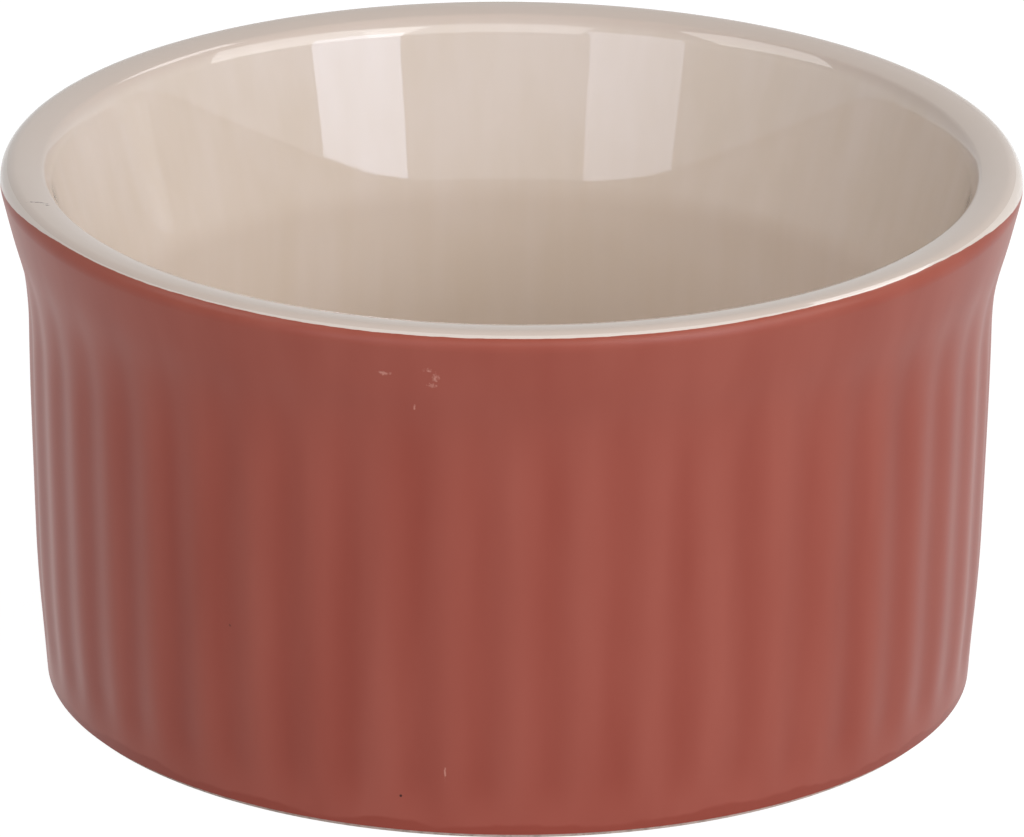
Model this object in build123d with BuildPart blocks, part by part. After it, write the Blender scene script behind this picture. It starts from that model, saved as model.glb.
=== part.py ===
from build123d import *
from math import cos, radians, sin, tan
import os

# A ramekin: a round, flared, fluted stoneware pot with a cream liner glaze and a terracotta outside glaze.
# Millimetres. The origin is the middle of the foot's resting plane, +Z is up.

# Whole pot, measured over the glazes
rim_diameter = 95.0
height = 50.3

# Lip: a narrow flat land between two rounded shoulders
lip_thickness = 4.3
lip_outer_radius = 1.5
lip_inner_radius = 0.6

# Flare: the top of the wall leans outwards, and more so inside the bowl
outer_flare_lean = 13.5
bowl_flare_lean = 15.5
bowl_flare_drop = 16.0
bowl_bend_radius = 16.0

# Flutes: soft vertical waves, a rounded ridge and a rounded groove each
flute_count = 45
flute_depth = 0.25
flute_top_drop = 5.5
ridge_share = 0.5
first_ridge_angle = -88.6

# Outline of the fluted wall at evenly spaced heights, from the foot to the flare: the radius over
# the ridges as a share of the rim's radius, and the groove as a share of the flute depth.
# The last height is the smooth ring under the lip, whose radius follows the lip.
ridge_radius_shares = (0.9137, 0.9293, 0.9375, 0.9429, 0.9459)
groove_shares = (0.0, 1.0, 1.0, 1.0, 1.2, 0.0)

# Bowl
floor_height = 6.0
floor_corner_radius = 5.0
bowl_draft = 1.0

# Foot: bare clay below the glaze line, with a rounded edge, and a ring round a shallow recess
glaze_line_height = 0.5
foot_edge_radius = 0.35
foot_ring_width = 3.5
recess_depth = 1.0

# Glazes
glaze_thickness = 0.35
liner_thickness = 0.35
base_glaze_thickness = 0.3
base_glaze_margin = 0.5
glaze_joint_angle = 45.0

# Length by which a cut runs past the surface it opens
overrun = 2.0

rim_radius = rim_diameter / 2
flute_pitch = 360 / flute_count
flute_top_height = height - flute_top_drop
bowl_bend_height = height - bowl_flare_drop
outer_shoulder = (rim_radius - lip_outer_radius, height - lip_outer_radius)
inner_shoulder = (rim_radius - lip_thickness + lip_inner_radius, height - lip_inner_radius)
foot_radius = rim_radius * ridge_radius_shares[0] - glaze_thickness
recess_radius = foot_radius - foot_edge_radius - foot_ring_width


def polar(radius, angle, centre=(0, 0)):
    """Point at an angle in degrees on a circle."""
    return (
        centre[0] + radius * cos(radians(angle)),
        centre[1] + radius * sin(radians(angle)),
    )


def outer_flare_radius(inset):
    """Radius of the smooth ring at the flutes' top, where the flare's line leaves the outer shoulder."""
    touch = polar(lip_outer_radius - inset, -outer_flare_lean, outer_shoulder)
    return touch[0] - (touch[1] - flute_top_height) * tan(radians(outer_flare_lean))


def bowl_radius(z, coat):
    """Radius of the bowl's flared line at a height, with the liner coat taken off."""
    touch = polar(lip_inner_radius - coat, 180 - bowl_flare_lean, inner_shoulder)
    return touch[0] - (touch[1] - z) * tan(radians(bowl_flare_lean))


def fluted_ring(z, ridge_radius, depth):
    """Face inside a closed wave of tangent arcs, a ridge arc and a groove arc for each flute."""
    middle_radius = ridge_radius - depth * ridge_share
    half_ridge = flute_pitch * ridge_share / 2
    arcs = []
    for flute in range(flute_count):
        ridge = first_ridge_angle + flute * flute_pitch
        start = polar(middle_radius, ridge - half_ridge)
        turn = polar(middle_radius, ridge + half_ridge)
        end = polar(middle_radius, ridge + flute_pitch - half_ridge)
        groove_bottom = polar(ridge_radius - depth, ridge + flute_pitch / 2)
        arcs.append(ThreePointArc(start, polar(ridge_radius, ridge), turn))
        arcs.append(ThreePointArc(turn, groove_bottom, end))
    return Plane.XY.offset(z) * Face(Wire(arcs))


def fluted_core(inset):
    """Solid slug inside the fluted wall, lofted through the waves, set in by the glaze's thickness."""
    ridge_radii = [rim_radius * share - inset for share in ridge_radius_shares]
    ridge_radii.append(outer_flare_radius(inset))
    rise = (flute_top_height - glaze_line_height) / (len(ridge_radii) - 1)
    rings = [
        fluted_ring(glaze_line_height + level * rise, radius, flute_depth * groove_share)
        for level, (radius, groove_share) in enumerate(zip(ridge_radii, groove_shares))
    ]
    with BuildPart() as core:
        loft(rings)
    return core.part


def solid_pot(inset, end_angle):
    """Pot with no bowl above the glaze line, set in by the glaze's thickness. Its rim is a solid of
    revolution that goes round the outer shoulder as far as an angle."""
    radius = lip_outer_radius - inset
    core = fluted_core(inset)
    with BuildPart() as pot:
        add(core)
        with BuildSketch(Plane.XZ):
            with BuildLine():
                Line(
                    (outer_flare_radius(inset), flute_top_height),
                    polar(radius, -outer_flare_lean, outer_shoulder),
                )
                CenterArc(outer_shoulder, radius, -outer_flare_lean, end_angle + outer_flare_lean)
                Polyline(
                    polar(radius, end_angle, outer_shoulder),
                    outer_shoulder,
                    (0, outer_shoulder[1]),
                    (0, flute_top_height),
                    (outer_flare_radius(inset), flute_top_height),
                )
            make_face()
        revolve(axis=Axis.Z)
    return pot.part


def bowl_wall(coat):
    """Inside of the pot from the lip's land, over the inner shoulder, down to the middle of the floor."""
    radius = lip_inner_radius - coat
    floor = floor_height - coat
    bend = (bowl_radius(bowl_bend_height, coat), bowl_bend_height)
    foot = (bend[0] - (bowl_bend_height - floor) * tan(radians(bowl_draft)), floor)
    CenterArc(inner_shoulder, radius, 90, 90 - bowl_flare_lean)
    FilletPolyline(
        polar(radius, 180 - bowl_flare_lean, inner_shoulder),
        bend,
        foot,
        (0, floor),
        radius=[bowl_bend_radius - coat, floor_corner_radius + coat],
    )


# The pot's two outside skins: over the terracotta glaze and over the bare clay
glazed_pot = solid_pot(0, glaze_joint_angle)
clay_pot = solid_pot(glaze_thickness, 90)

# Fired clay: the pot itself
with BuildPart() as stoneware_body:
    add(clay_pot)
    # Land of the lip, over the inner shoulder
    with BuildSketch(Plane.XY.offset(outer_shoulder[1])):
        Circle(outer_shoulder[0])
    extrude(amount=height - liner_thickness - outer_shoulder[1])
    # Foot below the glaze line, with a rounded edge
    with BuildSketch():
        Circle(foot_radius)
    foot = extrude(amount=glaze_line_height)
    fillet(foot.edges().group_by(Axis.Z)[0], foot_edge_radius)
    # Bowl, open at the top
    with BuildSketch(Plane.XZ):
        with BuildLine():
            bowl_wall(liner_thickness)
            Polyline(
                (0, floor_height - liner_thickness),
                (0, height + overrun),
                (inner_shoulder[0], height + overrun),
                (inner_shoulder[0], height - liner_thickness),
            )
        make_face()
    revolve(axis=Axis.Z, mode=Mode.SUBTRACT)
    # Recess under the base, inside the foot ring
    with BuildSketch():
        Circle(recess_radius)
    extrude(amount=recess_depth, mode=Mode.SUBTRACT)
stoneware_body.part.label = "stoneware_body"

# Cream glaze: lines the bowl, covers the land of the lip and ends on the outer shoulder
with BuildPart() as cream_liner_glaze:
    with BuildSketch(Plane.XZ):
        with BuildLine():
            bowl_wall(0)
            Line((0, floor_height), (0, floor_height - liner_thickness))
            bowl_wall(liner_thickness)
            Line((inner_shoulder[0], height), (outer_shoulder[0], height))
            Line(
                (inner_shoulder[0], height - liner_thickness),
                (outer_shoulder[0], height - liner_thickness),
            )
            joint_sweep = 90 - glaze_joint_angle
            CenterArc(outer_shoulder, lip_outer_radius, glaze_joint_angle, joint_sweep)
            CenterArc(outer_shoulder, lip_outer_radius - liner_thickness, glaze_joint_angle, joint_sweep)
            Line(
                polar(lip_outer_radius, glaze_joint_angle, outer_shoulder),
                polar(lip_outer_radius - liner_thickness, glaze_joint_angle, outer_shoulder),
            )
        make_face()
    revolve(axis=Axis.Z)
cream_liner_glaze.part.label = "cream_liner_glaze"

# Terracotta glaze: coats the fluted wall from the lip's outer shoulder to just above the foot
with BuildPart() as terracotta_wall_glaze:
    add(glazed_pot)
    add(clay_pot, mode=Mode.SUBTRACT)
terracotta_wall_glaze.part.label = "terracotta_wall_glaze"

# Terracotta glaze on the ceiling of the recess under the base
with BuildPart() as base_glaze:
    with BuildSketch(Plane.XY.offset(recess_depth - base_glaze_thickness)):
        Circle(recess_radius - base_glaze_margin)
    extrude(amount=base_glaze_thickness)
base_glaze.part.label = "base_glaze"

os.makedirs("parts", exist_ok=True)
export_step(stoneware_body.part, "parts/stoneware_body.step")
export_step(cream_liner_glaze.part, "parts/cream_liner_glaze.step")
export_step(terracotta_wall_glaze.part, "parts/terracotta_wall_glaze.step")
export_step(base_glaze.part, "parts/base_glaze.step")
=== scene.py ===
from math import atan2, cos, hypot, pi, radians, sin, tau

import bpy
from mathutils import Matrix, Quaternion, Vector


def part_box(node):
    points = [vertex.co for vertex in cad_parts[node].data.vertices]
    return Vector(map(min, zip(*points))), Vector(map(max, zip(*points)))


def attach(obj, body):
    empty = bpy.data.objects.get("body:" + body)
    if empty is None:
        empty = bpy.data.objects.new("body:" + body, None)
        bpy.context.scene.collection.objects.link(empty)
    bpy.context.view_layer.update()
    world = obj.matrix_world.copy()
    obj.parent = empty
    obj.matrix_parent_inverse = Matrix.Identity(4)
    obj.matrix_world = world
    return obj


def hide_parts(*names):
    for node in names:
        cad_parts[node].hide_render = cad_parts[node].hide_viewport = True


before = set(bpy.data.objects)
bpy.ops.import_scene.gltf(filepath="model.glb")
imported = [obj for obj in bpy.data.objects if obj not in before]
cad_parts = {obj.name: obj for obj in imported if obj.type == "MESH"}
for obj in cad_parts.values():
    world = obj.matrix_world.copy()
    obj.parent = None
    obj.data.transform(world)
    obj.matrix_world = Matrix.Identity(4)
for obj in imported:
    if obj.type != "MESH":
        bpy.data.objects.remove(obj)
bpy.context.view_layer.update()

bl_info = {
    "name": "Fluted ramekin",
    "version": (1, 0, 0),
    "blender": (4, 5, 0),
    "location": "3D View > Sidebar > Ramekin",
    "description": "Builds the glazes and clay of a fluted ramekin, and the studio it stands in",
    "category": "Object",
}

MM = 0.001
LOWEST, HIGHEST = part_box("terracotta_wall_glaze")
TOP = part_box("cream_liner_glaze")[1].z

# Radius over the ridges, in millimetres, at even heights from the glaze line up to the lip
WALL_RADII = (43.40, 43.75, 44.09, 44.33, 44.47, 44.59, 44.71, 44.82, 44.89, 44.97, 45.43, 46.49)
WALL_STEP = 4.0

# Heights in millimetres over which the grooves come in above the foot and fade out under the lip.
# A ridge runs that much less high than the groove beside it.
GROOVE_START = (0.8, 6)
GROOVE_END = (31, 47.5)
RIDGE_LEAD = 1.5

# Points closer than this are one point
MERGE_GAP = 0.002 * MM

# Studio: gap between the floor and the pot, strength of the room's light and of the floor's own white
FLOOR_GAP = 0.01 * MM
ROOM_LIGHT = 0.08
FLOOR_GLOW = 0.96

# Camera: where it stands and looks, its roll in degrees, and its lens and sensor in millimetres
CAMERA_EYE = (0.00022, -0.99315, 0.39733)
CAMERA_AIM = (0.00022, 0, 0.0246)
CAMERA_ROLL = 0.445
CAMERA_LENS = 398.2
CAMERA_SENSOR = 36


def srgb(code):
    """Linear colour with alpha, from an sRGB hex code."""
    channels = [int(code[i:i + 2], 16) / 255 for i in (1, 3, 5)]
    return [c / 12.92 if c <= 0.04045 else ((c + 0.055) / 1.055) ** 2.4 for c in channels] + [1.0]


def length_property(label, description, default):
    """Length of the pot, kept in metres."""
    return bpy.props.FloatProperty(
        name=label, description=description, default=default, min=0, precision=5, unit="LENGTH"
    )


def colour_property(label, description, code):
    """Colour of a finish, kept linear."""
    return bpy.props.FloatVectorProperty(
        name=label, description=description, default=srgb(code), size=4, min=0, max=1, subtype="COLOR"
    )


class PotSizes(bpy.types.PropertyGroup):
    """Sizes of the pot, over its glazes."""

    rim_radius: length_property("Rim radius", "Radius of the lip at its widest", HIGHEST.x)
    height: length_property("Height", "From the foot to the lip's land", TOP)
    lip_outer_radius: length_property("Outer shoulder", "Radius of the lip's outer shoulder", 1.5 * MM)
    lip_inner_radius: length_property("Inner shoulder", "Radius of the lip's inner shoulder", 0.8 * MM)
    lip_crown: length_property("Lip crown", "Radius over the lip's land", 8 * MM)
    lip_roll: length_property("Lip roll", "Radius where the lip rolls into the bowl", 4 * MM)
    crown_end: bpy.props.FloatProperty(
        name="Crown end", description="Angle at which the land turns into the inner shoulder",
        default=radians(106.5), subtype="ANGLE",
    )
    shoulder_end: bpy.props.FloatProperty(
        name="Shoulder end", description="Angle at which the inner shoulder turns into the roll",
        default=radians(142), subtype="ANGLE",
    )
    outer_flare_lean: bpy.props.FloatProperty(
        name="Outer flare", description="Lean of the wall's top outside", default=radians(13.5), subtype="ANGLE"
    )
    bowl_flare_lean: bpy.props.FloatProperty(
        name="Bowl flare", description="Lean of the wall's top inside", default=radians(15.5), subtype="ANGLE"
    )
    bowl_bend_height: length_property("Bend height", "Where the bowl's flare starts", 33.6 * MM)
    bowl_bend_radius: length_property("Bend radius", "Radius of the bowl's bend", 10 * MM)
    bowl_draft: bpy.props.FloatProperty(
        name="Draft", description="Lean of the bowl's wall below its bend", default=radians(1), subtype="ANGLE"
    )
    floor_height: length_property("Floor height", "From the foot to the bowl's floor", 6 * MM)
    floor_corner: length_property("Floor corner", "Radius between the floor and the wall", 5 * MM)
    flute_count: bpy.props.IntProperty(name="Flutes", description="Flutes round the wall", default=45, min=3)
    flute_depth: length_property("Flute depth", "Depth of a groove below its ridges", 0.23 * MM)
    first_ridge: bpy.props.FloatProperty(
        name="First ridge", description="Angle of a ridge about Z", default=radians(-89), subtype="ANGLE"
    )
    foot_radius: length_property("Foot radius", "Radius of the bare foot", 43.05 * MM)
    foot_edge: length_property("Foot edge", "Radius of the foot's edge", 0.35 * MM)
    foot_ring: length_property("Foot ring", "Width of the ring that the pot stands on", 3.5 * MM)
    recess_depth: length_property("Recess", "Depth of the recess under the base", 1 * MM)
    glaze_line: length_property("Glaze line", "Height at which the wall's glaze starts", 0.5 * MM)
    glaze_joint: bpy.props.FloatProperty(
        name="Glaze joint", description="Angle on the lip's outer shoulder where the glazes meet",
        default=radians(56), subtype="ANGLE",
    )
    coat: length_property("Coat", "Thickness of the glazes", 0.35 * MM)
    base_coat: length_property("Base coat", "Thickness of the glaze under the base", 0.3 * MM)


class PotColours(bpy.types.PropertyGroup):
    """Colours of the glazes and the clay."""

    cream: colour_property("Cream", "Liner glaze where it lies thick", "#E0D1C4")
    cream_thin: colour_property("Thin cream", "Liner glaze where it has run thin", "#DCCCBC")
    # Cream rim: painted shade, the liner glaze darker over the rim
    cream_rim_shade: colour_property("Cream rim", "Liner glaze where it is wiped thin over the rim", "#D0BDAF")
    terracotta: colour_property("Terracotta", "Wall glaze", "#9B5042")
    # Dark terracotta: thicker glaze in streaks, and painted shade in the grooves and near the foot
    terracotta_thick_and_shade: colour_property("Dark terracotta", "Wall glaze where it lies thick", "#8F4234")
    # Terracotta edge: partly thinner glaze, partly painted light on the shoulder under the rim
    terracotta_edge_and_light: colour_property("Terracotta edge", "Wall glaze where it thins out to an edge", "#A9553E")
    scuff: colour_property("Scuff", "Glaze where it is chipped or scuffed", "#B97C6D")
    speck: colour_property("Speck", "Iron speck in the glaze", "#3A1512")
    clay: colour_property("Clay", "Bare fired clay", "#CDB9AC")
    clay_dark: colour_property("Dark clay", "Grog in the bare clay", "#AE9A8C")


def polar(centre, radius, angle):
    """Point at an angle on a circle in the outline's plane."""
    return (centre[0] + radius * cos(angle), centre[1] + radius * sin(angle))


def arc(centre, radius, start, end, steps):
    """Points along an arc, both ends among them."""
    return [polar(centre, radius, start + (end - start) * i / steps) for i in range(steps + 1)]


def run(start, end, steps):
    """Points along a straight run, without its start."""
    return [
        (start[0] + (end[0] - start[0]) * i / steps, start[1] + (end[1] - start[1]) * i / steps)
        for i in range(1, steps + 1)
    ]


def smooth(knots, steps):
    """Points on a smooth line through the knots, with a few between each two."""
    line = [knots[0]]
    for i in range(len(knots) - 1):
        before, start, end, after = knots[max(i - 1, 0)], knots[i], knots[i + 1], knots[min(i + 2, len(knots) - 1)]
        for k in range(1, steps + 1):
            t = k / steps
            line.append(tuple(
                0.5 * (2 * b + (c - a) * t + (2 * a - 5 * b + 4 * c - d) * t * t + (3 * b - a - 3 * c + d) * t ** 3)
                for a, b, c, d in zip(before, start, end, after)
            ))
    return line


def rounded(start, corner, end, radius, steps):
    """Points of an arc that rounds the corner between two runs."""
    a = Vector((start[0] - corner[0], start[1] - corner[1])).normalized()
    b = Vector((end[0] - corner[0], end[1] - corner[1])).normalized()
    half = a.angle(b) / 2
    middle = Vector(corner) + (a + b).normalized() * radius / sin(half)
    first = Vector(corner) + a * radius * cos(half) / sin(half) - middle
    last = Vector(corner) + b * radius * cos(half) / sin(half) - middle
    start_angle = atan2(first.y, first.x)
    sweep = atan2(last.y, last.x) - start_angle
    sweep = (sweep + pi) % tau - pi
    return arc(middle, radius, start_angle, start_angle + sweep, steps)


def outer_shoulder(sizes):
    """Centre of the lip's outer shoulder."""
    return (sizes.rim_radius - sizes.lip_outer_radius, sizes.height - sizes.lip_outer_radius)


def lip_line(sizes, inset):
    """Over the lip from the top of its outer shoulder to the bowl's straight flare, in three arcs that touch."""
    outer = outer_shoulder(sizes)
    crown = (outer[0], sizes.height - sizes.lip_crown)
    inner = polar(crown, sizes.lip_crown - sizes.lip_inner_radius, sizes.crown_end)
    roll = polar(inner, sizes.lip_inner_radius - sizes.lip_roll, sizes.shoulder_end)
    return (
        arc(crown, sizes.lip_crown - inset, pi / 2, sizes.crown_end, 6)
        + arc(inner, sizes.lip_inner_radius - inset, sizes.crown_end, sizes.shoulder_end, 8)[1:]
        + arc(roll, sizes.lip_roll - inset, sizes.shoulder_end, pi - sizes.bowl_flare_lean, 8)[1:]
    )


def wall_line(sizes, inset, end_angle, steps):
    """Outside of the pot over the ridges, from the glaze line to an angle on the outer shoulder."""
    outer = outer_shoulder(sizes)
    knots = [
        (radius * MM - inset, sizes.glaze_line + i * WALL_STEP * MM) for i, radius in enumerate(WALL_RADII)
    ]
    knots.append(polar(outer, sizes.lip_outer_radius - inset, -sizes.outer_flare_lean))
    return smooth(knots, steps) + arc(
        outer, sizes.lip_outer_radius - inset, -sizes.outer_flare_lean, end_angle, 3 * steps
    )[1:]


def bowl_line(sizes, inset):
    """Inside of the pot from the lip's land, over the inner shoulder, down to the middle of the floor."""
    lip = lip_line(sizes, inset)
    floor = sizes.floor_height - inset
    lean, draft = sizes.bowl_flare_lean, sizes.bowl_draft
    touch = lip[-1]
    slope, low_slope = sin(lean) / cos(lean), sin(draft) / cos(draft)
    bend = (touch[0] - (touch[1] - sizes.bowl_bend_height) * slope, sizes.bowl_bend_height)
    foot = (bend[0] - (bend[1] - floor) * low_slope, floor)
    bend_arc = rounded(touch, bend, foot, sizes.bowl_bend_radius - inset, 14)
    corner_arc = rounded(bend, foot, (0, floor), sizes.floor_corner + inset, 12)
    return (
        lip[:-1]
        + [touch] + run(touch, bend_arc[0], 14)[:-1]
        + bend_arc
        + run(bend_arc[-1], corner_arc[0], 8)[:-1]
        + corner_arc
        + run(corner_arc[-1], (0, floor), 12)
    )


def turned(name, outline, steps, start=0.0):
    """Piece turned about Z from an outline of (radius, height) points, drawn from one vertex."""
    bpy.ops.object.select_all(action="DESELECT")
    bpy.ops.mesh.primitive_plane_add(size=MM)
    piece = bpy.context.object
    piece.name = piece.data.name = name
    bpy.ops.object.mode_set(mode="EDIT")
    bpy.ops.mesh.merge(type="CENTER")
    points = [Vector((r * cos(start), r * sin(start), z)) for r, z in outline]
    bpy.ops.transform.translate(value=points[0])
    for before, point in zip(points, points[1:]):
        bpy.ops.mesh.extrude_region_move(TRANSFORM_OT_translate={"value": point - before})
    bpy.ops.mesh.select_all(action="SELECT")
    bpy.ops.mesh.spin(steps=steps, angle=tau, center=(0, 0, 0), axis=(0, 0, 1))
    bpy.ops.mesh.select_all(action="SELECT")
    bpy.ops.mesh.remove_doubles(threshold=MERGE_GAP)
    bpy.ops.mesh.normals_make_consistent(inside=False)
    bpy.ops.object.mode_set(mode="OBJECT")
    return piece


def blend_step(low, high, value):
    """Smooth step from 0 at low to 1 at high."""
    t = min(max((value - low) / (high - low), 0), 1)
    return t * t * (3 - 2 * t)


def groove_share(sizes, x, y, z):
    """Share of the flute depth at a point of the wall: full in a groove, fading at the foot and under the lip."""
    turn = (atan2(y, x) - sizes.first_ridge) * sizes.flute_count
    groove = (1 - cos(turn)) / 2
    lead = RIDGE_LEAD * (1 - groove)
    return groove * blend_step(*GROOVE_START, z / MM) * (1 - blend_step(*GROOVE_END, z / MM + lead))


def flute(piece, sizes, inside_radius):
    """Presses the grooves into the outside of a turned piece, and keeps each point's share of the depth."""
    grooves = piece.vertex_groups.new(name="grooves")
    shares = [0.0] * len(piece.data.vertices)
    for vertex in piece.data.vertices:
        x, y, z = vertex.co
        if hypot(x, y) > inside_radius and z > sizes.glaze_line:
            shares[vertex.index] = groove_share(sizes, x, y, z)
            if shares[vertex.index] > 0:
                grooves.add([vertex.index], shares[vertex.index], "REPLACE")
    piece.data.attributes.new("groove", "FLOAT", "POINT").data.foreach_set("value", shares)
    press = piece.modifiers.new("press", "DISPLACE")
    press.vertex_group = "grooves"
    press.mid_level = 0
    press.strength = -sizes.flute_depth
    bpy.ops.object.modifier_apply(modifier="press")
    piece.vertex_groups.clear()


def coat(piece, thickness):
    """Gives a glaze its thickness, inwards from its face."""
    skin = piece.modifiers.new("skin", "SOLIDIFY")
    skin.thickness = thickness
    skin.offset = -1
    skin.use_even_offset = True
    bpy.ops.object.modifier_apply(modifier="skin")


def finish_piece(piece, material, node):
    """Smooths a finished piece, gives it its material and puts it in place of its CAD node."""
    bpy.ops.object.shade_smooth_by_angle(angle=radians(40))
    piece.data.materials.clear()
    piece.data.materials.append(material)
    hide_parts(node)
    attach(piece, "root")


def add_node(tree, kind, inputs=(), output=0, **settings):
    """Adds a node with its settings and links, and gives back one of its outputs. An input's value is a number
    or colour, or the output that feeds it."""
    node = tree.nodes.new(kind)
    for name, value in settings.items():
        setattr(node, name, value)
    for key, value in dict(inputs).items():
        if isinstance(value, bpy.types.NodeSocket):
            tree.links.new(value, node.inputs[key])
        else:
            node.inputs[key].default_value = value
    return node.outputs[output] if node.outputs else None


def new_material(name):
    """Empty material, and the point on the piece in metres."""
    material = bpy.data.materials.new(name)
    material.use_nodes = True
    tree = material.node_tree
    tree.nodes.clear()
    return material, tree, add_node(tree, "ShaderNodeTexCoord", output="Object")


def texture(tree, place, size, detail=2.0):
    """Noise from 0 to 1 whose lumps measure size (x, y, z) in millimetres."""
    scaled = add_node(tree, "ShaderNodeMapping", {"Vector": place, "Scale": [1 / (s * MM) for s in size]})
    return add_node(tree, "ShaderNodeTexNoise", {"Vector": scaled, "Scale": 1.0, "Detail": detail}, "Fac")


def marks(tree, place, spots):
    """Share from 0 to 1 inside ragged small marks, each an (x, y, z) and a (width, depth, height) in millimetres."""
    fray = texture(tree, place, (0.25, 0.25, 0.25), 1.0)
    share = 0.0
    for centre, size in spots:
        local = add_node(tree, "ShaderNodeMapping", {
            "Vector": place,
            "Location": [-c / s for c, s in zip(centre, size)],
            "Scale": [1 / (s * MM) for s in size],
        })
        distance = add_node(tree, "ShaderNodeVectorMath", {0: local}, "Value", operation="LENGTH")
        ragged = add_node(tree, "ShaderNodeMath", {0: distance, 1: fray}, operation="ADD")
        inside = add_node(tree, "ShaderNodeMapRange", {
            "Value": ragged, "From Min": 1.1, "From Max": 0.7,
        }, interpolation_type="SMOOTHSTEP")
        share = add_node(tree, "ShaderNodeMath", {0: inside, 1: share}, operation="MAXIMUM")
    return share


def cream_glaze(colours):
    """Cream gloss stoneware glaze, poured in and fired to a smooth glass over the clay.
    It gives a clean mirror sheen over a warm pale body, slightly uneven where it ran down the wall, with painted
    shade over the rim."""
    material, tree, place = new_material("cream gloss glaze")

    # Body: thinner and warmer in faint upright streaks
    streaks = texture(tree, place, (3, 3, 26))
    cloud = texture(tree, place, (16, 16, 16))
    depth = add_node(tree, "ShaderNodeMath", {0: streaks, 1: cloud}, operation="ADD")
    thin = add_node(tree, "ShaderNodeMapRange", {"Value": depth, "From Min": 0.75, "From Max": 1.25})
    body = add_node(tree, "ShaderNodeMix", {
        "Factor": thin, "A": list(colours.cream), "B": list(colours.cream_thin),
    }, "Result", data_type="RGBA")

    # Painted shade: the liner glaze made darker over the rim, to hold down the light its top takes from the lamps
    # above
    height = add_node(tree, "ShaderNodeSeparateXYZ", {"Vector": place}, "Z")
    rim_shade = add_node(tree, "ShaderNodeMapRange", {
        "Value": height, "From Min": 48.6 * MM, "From Max": 49.8 * MM, "To Max": 0.8,
    }, interpolation_type="SMOOTHSTEP")
    body = add_node(tree, "ShaderNodeMix", {
        "Factor": rim_shade, "A": body, "B": list(colours.cream_rim_shade),
    }, "Result", data_type="RGBA")

    # A fine dark hair mark on the rim
    hair = marks(tree, place, [
        ((-43.5, -12.9, 50.2), (1.7, 0.2, 0.8)), ((-42.6, -13.4, 50.1), (0.6, 0.24, 0.8)),
    ])
    body = add_node(tree, "ShaderNodeMix", {
        "Factor": hair, "A": body, "B": list(colours.speck),
    }, "Result", data_type="RGBA")

    # Skin: shallow runs and orange peel, and two small lumps at the rim's inner edge
    runs = texture(tree, place, (2.2, 2.2, 7), 1.0)
    peel = texture(tree, place, (1.2, 1.2, 1.2), 1.0)
    skin = add_node(tree, "ShaderNodeMath", {0: peel, 1: 0.25, 2: runs}, operation="MULTIPLY_ADD")
    lumps = marks(tree, place, [
        ((-40.8, 6.2, 50.0), (0.9, 0.7, 0.6)), ((-41.6, 4.4, 50.0), (0.7, 0.9, 0.6)),
    ])
    skin = add_node(tree, "ShaderNodeMath", {0: lumps, 1: 6.0, 2: skin}, operation="MULTIPLY_ADD")
    bump = add_node(tree, "ShaderNodeBump", {"Strength": 1.0, "Distance": 0.003 * MM, "Height": skin})
    shader = add_node(tree, "ShaderNodeBsdfPrincipled", {
        "Base Color": body, "Roughness": 0.03, "IOR": 1.52, "Normal": bump,
    })
    add_node(tree, "ShaderNodeOutputMaterial", {"Surface": shader})
    return material


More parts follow.
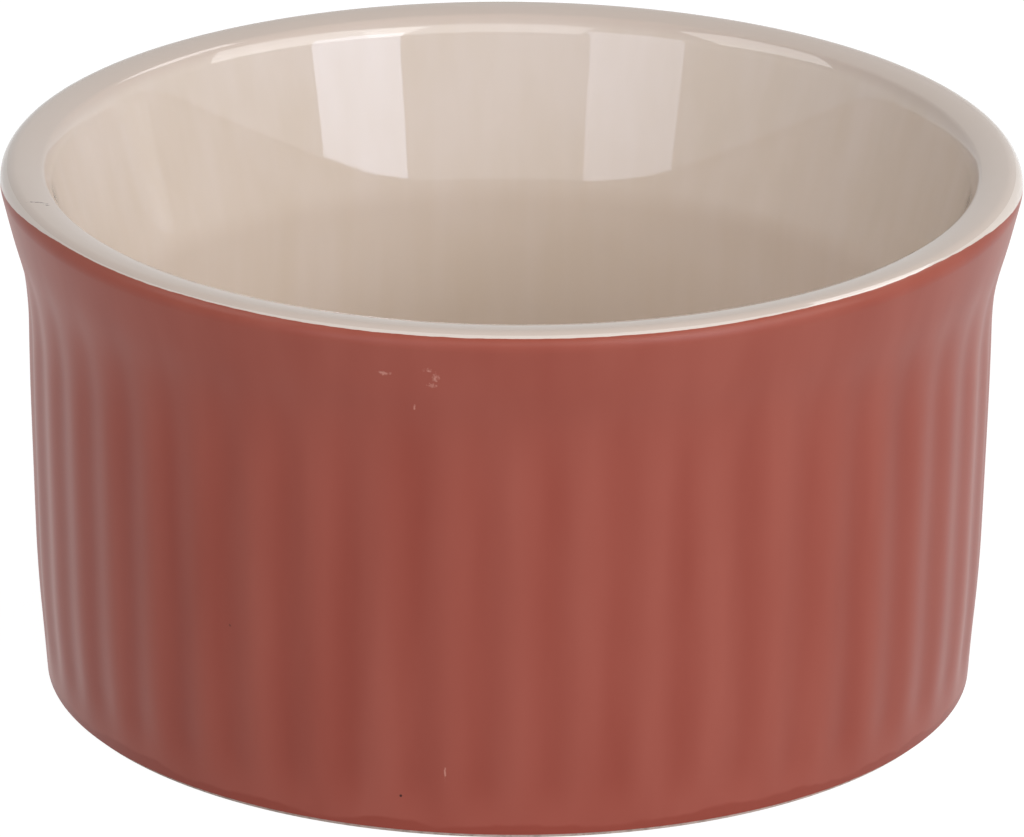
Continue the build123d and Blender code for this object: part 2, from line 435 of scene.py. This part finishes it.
def terracotta_glaze(colours):
    """Satin terracotta stoneware glaze, dipped and fired to a soft sheen over the fluted clay.
    It gives a red-brown body with a soft shine along the flutes, painted shade in the grooves and near the foot, a
    warmer, lighter band under the lip that is partly thinner glaze and partly painted light, and a cream border
    where the liner glaze laps over it."""
    material, tree, place = new_material("satin terracotta glaze")
    height = add_node(tree, "ShaderNodeSeparateXYZ", {"Vector": place}, "Z")
    backwards = add_node(tree, "ShaderNodeSeparateXYZ", {"Vector": place}, "Y")

    # Body: darker in upright streaks where the glaze lies thick, and darker in the grooves, partly glaze pooled
    # there and partly painted shade in the hollows
    groove_shade = add_node(tree, "ShaderNodeAttribute", (), "Fac", attribute_name="groove")
    cloud = texture(tree, place, (5, 5, 30))
    depth = add_node(tree, "ShaderNodeMath", {0: groove_shade, 1: 0.42, 2: cloud}, operation="MULTIPLY_ADD")
    thick = add_node(tree, "ShaderNodeMapRange", {"Value": depth, "From Min": 0.35, "From Max": 1.1})
    body = add_node(tree, "ShaderNodeMix", {
        "Factor": thick, "A": list(colours.terracotta), "B": list(colours.terracotta_thick_and_shade),
    }, "Result", data_type="RGBA")

    # Painted shade: darker glaze below a wavering line near the foot, where the wall turns under towards the floor
    waver = texture(tree, place, (5, 5, 5))
    foot_shade_line = add_node(tree, "ShaderNodeMath", {0: waver, 1: 2.0 * MM, 2: height}, operation="MULTIPLY_ADD")
    foot_shade = add_node(tree, "ShaderNodeMapRange", {
        "Value": foot_shade_line, "From Min": 2.5 * MM, "From Max": 2.1 * MM,
    }, interpolation_type="SMOOTHSTEP")
    body = add_node(tree, "ShaderNodeMix", {
        "Factor": foot_shade, "A": body, "B": list(colours.terracotta_thick_and_shade),
    }, "Result", data_type="RGBA")
    # A warmer, lighter band under the rim: partly thinner glaze at the edge, partly painted light where the shoulder
    # faces the lamps above
    high_edge = add_node(tree, "ShaderNodeMath", {0: waver, 1: 0.5 * MM, 2: height}, operation="MULTIPLY_ADD")
    edge = add_node(tree, "ShaderNodeMapRange", {
        "Value": high_edge, "From Min": 49.0 * MM, "From Max": 50.2 * MM, "To Max": 0.25,
    }, interpolation_type="SMOOTHSTEP")
    body = add_node(tree, "ShaderNodeMix", {
        "Factor": edge, "A": body, "B": list(colours.terracotta_edge_and_light),
    }, "Result", data_type="RGBA")

    # Pale scuffs and dark specks
    scuffs = marks(tree, place, [
        ((-11.2, -45.1, 45.9), (1.3, 1.5, 0.5)), ((-7.3, -45.9, 46.6), (1.0, 1.5, 0.55)),
        ((-6.6, -45.9, 45.8), (0.7, 1.5, 1.1)), ((-6.9, -45.8, 45.0), (0.9, 1.5, 0.5)),
        ((-8.5, -45.1, 42.5), (0.25, 1.5, 0.6)), ((-5.6, -43.6, 6.6), (0.2, 1.5, 1.3)),
    ])
    body = add_node(tree, "ShaderNodeMix", {
        "Factor": scuffs, "A": body, "B": list(colours.scuff),
    }, "Result", data_type="RGBA")
    specks = marks(tree, place, [
        ((-25.3, -36.6, 18.0), (0.3, 0.5, 0.3)), ((-9.6, -42.6, 3.9), (0.26, 0.8, 0.26)),
    ])
    body = add_node(tree, "ShaderNodeMix", {
        "Factor": specks, "A": body, "B": list(colours.speck),
    }, "Result", data_type="RGBA")

    # Cream border: the liner glaze laps over with a rippled edge, further down at the back
    sag = add_node(tree, "ShaderNodeMapRange", {
        "Value": backwards,
        "From Min": -46.5 * MM, "From Max": -38 * MM, "To Min": 49.83 * MM, "To Max": 49.95 * MM,
    }, interpolation_type="SMOOTHSTEP")
    overlap = add_node(tree, "ShaderNodeMapRange", {
        "Value": backwards, "From Min": -26 * MM, "From Max": 4 * MM, "To Max": 1.2 * MM,
    }, interpolation_type="SMOOTHSTEP")
    ripple = texture(tree, place, (1.6, 1.6, 1.6), 3.0)
    line = add_node(tree, "ShaderNodeMath", {0: ripple, 1: -0.09 * MM, 2: height}, operation="MULTIPLY_ADD")
    line = add_node(tree, "ShaderNodeMath", {0: waver, 1: -0.07 * MM, 2: line}, operation="MULTIPLY_ADD")
    line = add_node(tree, "ShaderNodeMath", {0: line, 1: overlap}, operation="ADD")
    above = add_node(tree, "ShaderNodeMath", {0: line, 1: sag}, operation="SUBTRACT")
    lap = add_node(tree, "ShaderNodeMapRange", {
        "Value": above, "From Min": -0.1 * MM, "From Max": -0.06 * MM,
    }, interpolation_type="SMOOTHSTEP")
    body = add_node(tree, "ShaderNodeMix", {
        "Factor": lap, "A": body, "B": list(colours.cream),
    }, "Result", data_type="RGBA")

    # Satin on the wall, gloss on the border, and a fine grain
    gloss = add_node(tree, "ShaderNodeMapRange", {"Value": lap, "To Min": 0.36, "To Max": 0.06})
    sheen = add_node(tree, "ShaderNodeMapRange", {"Value": lap, "To Min": 0.22, "To Max": 0.5})
    grain = texture(tree, place, (0.6, 0.6, 0.6))
    bump = add_node(tree, "ShaderNodeBump", {"Strength": 1.0, "Distance": 0.004 * MM, "Height": grain})
    shader = add_node(tree, "ShaderNodeBsdfPrincipled", {
        "Base Color": body, "Roughness": gloss, "IOR": 1.5, "Specular IOR Level": sheen, "Normal": bump,
    })
    add_node(tree, "ShaderNodeOutputMaterial", {"Surface": shader})
    return material


def bare_clay(colours):
    """Pale buff stoneware clay with fine grog, fired bare and rubbed flat. It looks matt and slightly gritty."""
    material, tree, place = new_material("bare fired stoneware")
    grog = texture(tree, place, (0.6, 0.6, 0.6), 3.0)
    share = add_node(tree, "ShaderNodeMapRange", {"Value": grog, "From Min": 0.45, "From Max": 0.7})
    body = add_node(tree, "ShaderNodeMix", {
        "Factor": share, "A": list(colours.clay), "B": list(colours.clay_dark),
    }, "Result", data_type="RGBA")
    bump = add_node(tree, "ShaderNodeBump", {"Strength": 0.5, "Distance": 0.05 * MM, "Height": grog})
    shader = add_node(tree, "ShaderNodeBsdfPrincipled", {
        "Base Color": body, "Roughness": 0.85, "IOR": 1.5, "Normal": bump,
    })
    add_node(tree, "ShaderNodeOutputMaterial", {"Surface": shader})
    return material


class RAMEKIN_OT_clay_body(bpy.types.Operator):
    """Models the fired clay pot: foot ring, fluted wall, lip and bowl"""

    bl_idname = "ramekin.clay_body"
    bl_label = "Clay body"

    def execute(self, context):
        sizes, colours = context.scene.ramekin_sizes, context.scene.ramekin_colours
        ring = sizes.foot_radius - sizes.foot_edge - sizes.foot_ring
        outline = (
            [(0, sizes.recess_depth)]
            + run((0, sizes.recess_depth), (ring, sizes.recess_depth), 6)
            + run((ring, sizes.recess_depth), (ring, 0), 2)
            + run((ring, 0), (ring + sizes.foot_ring, 0), 3)
            + arc((sizes.foot_radius - sizes.foot_edge, sizes.foot_edge), sizes.foot_edge, -pi / 2, 0, 5)[1:]
            + wall_line(sizes, sizes.coat, pi / 2, 3)[:-1]
            + bowl_line(sizes, sizes.coat)
        )
        piece = turned("stoneware_body.clay", outline, 8 * sizes.flute_count, sizes.first_ridge)
        flute(piece, sizes, sizes.foot_radius - sizes.foot_edge)
        finish_piece(piece, bare_clay(colours), "stoneware_body")
        return {"FINISHED"}


class RAMEKIN_OT_liner_glaze(bpy.types.Operator):
    """Models the cream glaze that lines the bowl and laps over the lip"""

    bl_idname = "ramekin.liner_glaze"
    bl_label = "Liner glaze"

    def execute(self, context):
        sizes, colours = context.scene.ramekin_sizes, context.scene.ramekin_colours
        joint = arc(outer_shoulder(sizes), sizes.lip_outer_radius, sizes.glaze_joint, pi / 2, 6)
        outline = joint[:-1] + bowl_line(sizes, 0)
        piece = turned("cream_liner_glaze.coat", outline, 360)
        coat(piece, sizes.coat)
        finish_piece(piece, cream_glaze(colours), "cream_liner_glaze")
        return {"FINISHED"}


class RAMEKIN_OT_wall_glaze(bpy.types.Operator):
    """Models the terracotta glaze on the fluted wall"""

    bl_idname = "ramekin.wall_glaze"
    bl_label = "Wall glaze"

    def execute(self, context):
        sizes, colours = context.scene.ramekin_sizes, context.scene.ramekin_colours
        outline = wall_line(sizes, 0, sizes.glaze_joint, 4)
        piece = turned("terracotta_wall_glaze.coat", outline, 16 * sizes.flute_count, sizes.first_ridge)
        flute(piece, sizes, 0)
        coat(piece, sizes.coat)
        finish_piece(piece, terracotta_glaze(colours), "terracotta_wall_glaze")
        return {"FINISHED"}


class RAMEKIN_OT_base_glaze(bpy.types.Operator):
    """Models the glaze in the recess under the base"""

    bl_idname = "ramekin.base_glaze"
    bl_label = "Base glaze"

    def execute(self, context):
        sizes, colours = context.scene.ramekin_sizes, context.scene.ramekin_colours
        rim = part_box("base_glaze")[1].x
        low = sizes.recess_depth - sizes.base_coat
        edge = 0.25 * MM
        outline = (
            [(0, low)]
            + run((0, low), (rim - edge, low), 8)
            + arc((rim - edge, low + edge), edge, -pi / 2, 0, 4)[1:]
            + run((rim, low + edge), (rim, sizes.recess_depth), 1)
            + run((rim, sizes.recess_depth), (0, sizes.recess_depth), 6)
        )
        piece = turned("base_glaze.coat", outline, 180)
        finish_piece(piece, bpy.data.materials["satin terracotta glaze"], "base_glaze")
        return {"FINISHED"}


def seen_rays(tree):
    """1 for the rays that see the background, by the camera, a mirror sheen or clear matter, and otherwise 0."""
    seen = 0.0
    for ray in ("Is Camera Ray", "Is Glossy Ray", "Is Transmission Ray"):
        path = add_node(tree, "ShaderNodeLightPath", (), ray)
        seen = add_node(tree, "ShaderNodeMath", {0: path, 1: seen}, operation="MAXIMUM")
    return seen


def softbox(name, azimuth, elevation, distance, size, level, colour="#FFFFFF"):
    """Rectangular lamp that faces the pot, as bright all over as its level. Its angles are in degrees as seen
    from the pot, the azimuth from the front, and its distance and size are in metres."""
    a, e = radians(azimuth), radians(elevation)
    towards = Vector((sin(a) * cos(e), -cos(a) * cos(e), sin(e)))
    aim = Vector((0, 0, 0.04))
    bpy.ops.object.light_add(type="AREA", location=aim + towards * distance)
    lamp = bpy.context.object
    lamp.name = name
    lamp.data.shape = "RECTANGLE"
    lamp.data.size, lamp.data.size_y = size
    lamp.data.energy = level * pi * size[0] * size[1]
    lamp.data.color = srgb(colour)[:3]
    lamp.rotation_mode = "QUATERNION"
    lamp.rotation_quaternion = towards.to_track_quat("Z", "Y")


class RAMEKIN_OT_studio(bpy.types.Operator):
    """Sets up the floor, the white background, the lamps and the camera"""

    bl_idname = "ramekin.studio"
    bl_label = "Studio"

    def execute(self, context):
        bpy.ops.object.select_all(action="DESELECT")
        bpy.ops.mesh.primitive_plane_add(size=6, location=(0, 0, -FLOOR_GAP))
        floor = context.object
        floor.name = "floor"
        bpy.ops.object.transform_apply(location=True)
        material, tree, _ = new_material("white card")
        card = add_node(tree, "ShaderNodeBsdfDiffuse", {"Color": srgb("#E6E6E6")})
        shade = add_node(tree, "ShaderNodeBsdfDiffuse", {"Color": srgb("#6A6A6A")})
        glow = add_node(tree, "ShaderNodeEmission", {"Color": srgb("#FFFFFF"), "Strength": FLOOR_GLOW})
        white = add_node(tree, "ShaderNodeAddShader", {0: shade, 1: glow})
        both = add_node(tree, "ShaderNodeMixShader", {0: seen_rays(tree), 1: card, 2: white})
        add_node(tree, "ShaderNodeOutputMaterial", {"Surface": both})
        floor.data.materials.append(material)

        world = bpy.data.worlds.new("studio")
        context.scene.world = world
        world.use_nodes = True
        tree = world.node_tree
        tree.nodes.clear()
        room = add_node(tree, "ShaderNodeBackground", {"Color": srgb("#FFFFFF"), "Strength": ROOM_LIGHT})
        white = add_node(tree, "ShaderNodeBackground", {"Color": srgb("#FFFFFF"), "Strength": 1.0})
        both = add_node(tree, "ShaderNodeMixShader", {0: seen_rays(tree), 1: room, 2: white})
        add_node(tree, "ShaderNodeOutputWorld", {"Surface": both})

        softbox("left softbox", -32.5, 11.5, 0.9, (0.39, 0.43), 2.25, "#E6ECFF")
        softbox("right softbox", 41, 12.5, 0.9, (0.37, 0.38), 4.2, "#E0EAFF")
        softbox("front softbox", 10, 29, 1.0, (1.0, 0.42), 2.1)
        softbox("side softbox", 56, 29, 1.0, (1.0, 0.42), 3.35)
        softbox("left overhead softbox", -75, 38, 1.0, (0.6, 0.4), 3.0)
        softbox("right overhead softbox", 124, 46, 1.0, (0.45, 0.34), 4.0)

        eye, aim = Vector(CAMERA_EYE), Vector(CAMERA_AIM)
        bpy.ops.object.camera_add(location=eye)
        camera = context.object
        camera.rotation_mode = "QUATERNION"
        roll = Quaternion((0, 0, 1), radians(CAMERA_ROLL))
        camera.rotation_quaternion = (aim - eye).to_track_quat("-Z", "Y") @ roll
        camera.data.sensor_width = CAMERA_SENSOR
        camera.data.lens = CAMERA_LENS
        camera.data.clip_end = 20
        context.scene.camera = camera
        context.scene.view_settings.view_transform = "Standard"
        return {"FINISHED"}


class RAMEKIN_PT_sidebar(bpy.types.Panel):
    """Lists the ramekin's pieces, sizes and colours"""

    bl_idname = "RAMEKIN_PT_sidebar"
    bl_label = "Ramekin"
    bl_space_type = "VIEW_3D"
    bl_region_type = "UI"
    bl_category = "Ramekin"

    def draw(self, context):
        for operator in OPERATORS:
            self.layout.operator(operator.bl_idname)
        for group in (context.scene.ramekin_sizes, context.scene.ramekin_colours):
            box = self.layout.box()
            for name in group.__annotations__:
                box.prop(group, name)


OPERATORS = (
    RAMEKIN_OT_clay_body, RAMEKIN_OT_liner_glaze, RAMEKIN_OT_wall_glaze, RAMEKIN_OT_base_glaze, RAMEKIN_OT_studio,
)
CLASSES = (PotSizes, PotColours) + OPERATORS + (RAMEKIN_PT_sidebar,)


def register():
    for kind in CLASSES:
        bpy.utils.register_class(kind)
    bpy.types.Scene.ramekin_sizes = bpy.props.PointerProperty(type=PotSizes)
    bpy.types.Scene.ramekin_colours = bpy.props.PointerProperty(type=PotColours)


def unregister():
    del bpy.types.Scene.ramekin_colours
    del bpy.types.Scene.ramekin_sizes
    for kind in reversed(CLASSES):
        bpy.utils.unregister_class(kind)


def main():
    register()
    bpy.ops.ramekin.clay_body()
    bpy.ops.ramekin.liner_glaze()
    bpy.ops.ramekin.wall_glaze()
    bpy.ops.ramekin.base_glaze()
    bpy.ops.ramekin.studio()


if __name__ == "__main__":
    main()
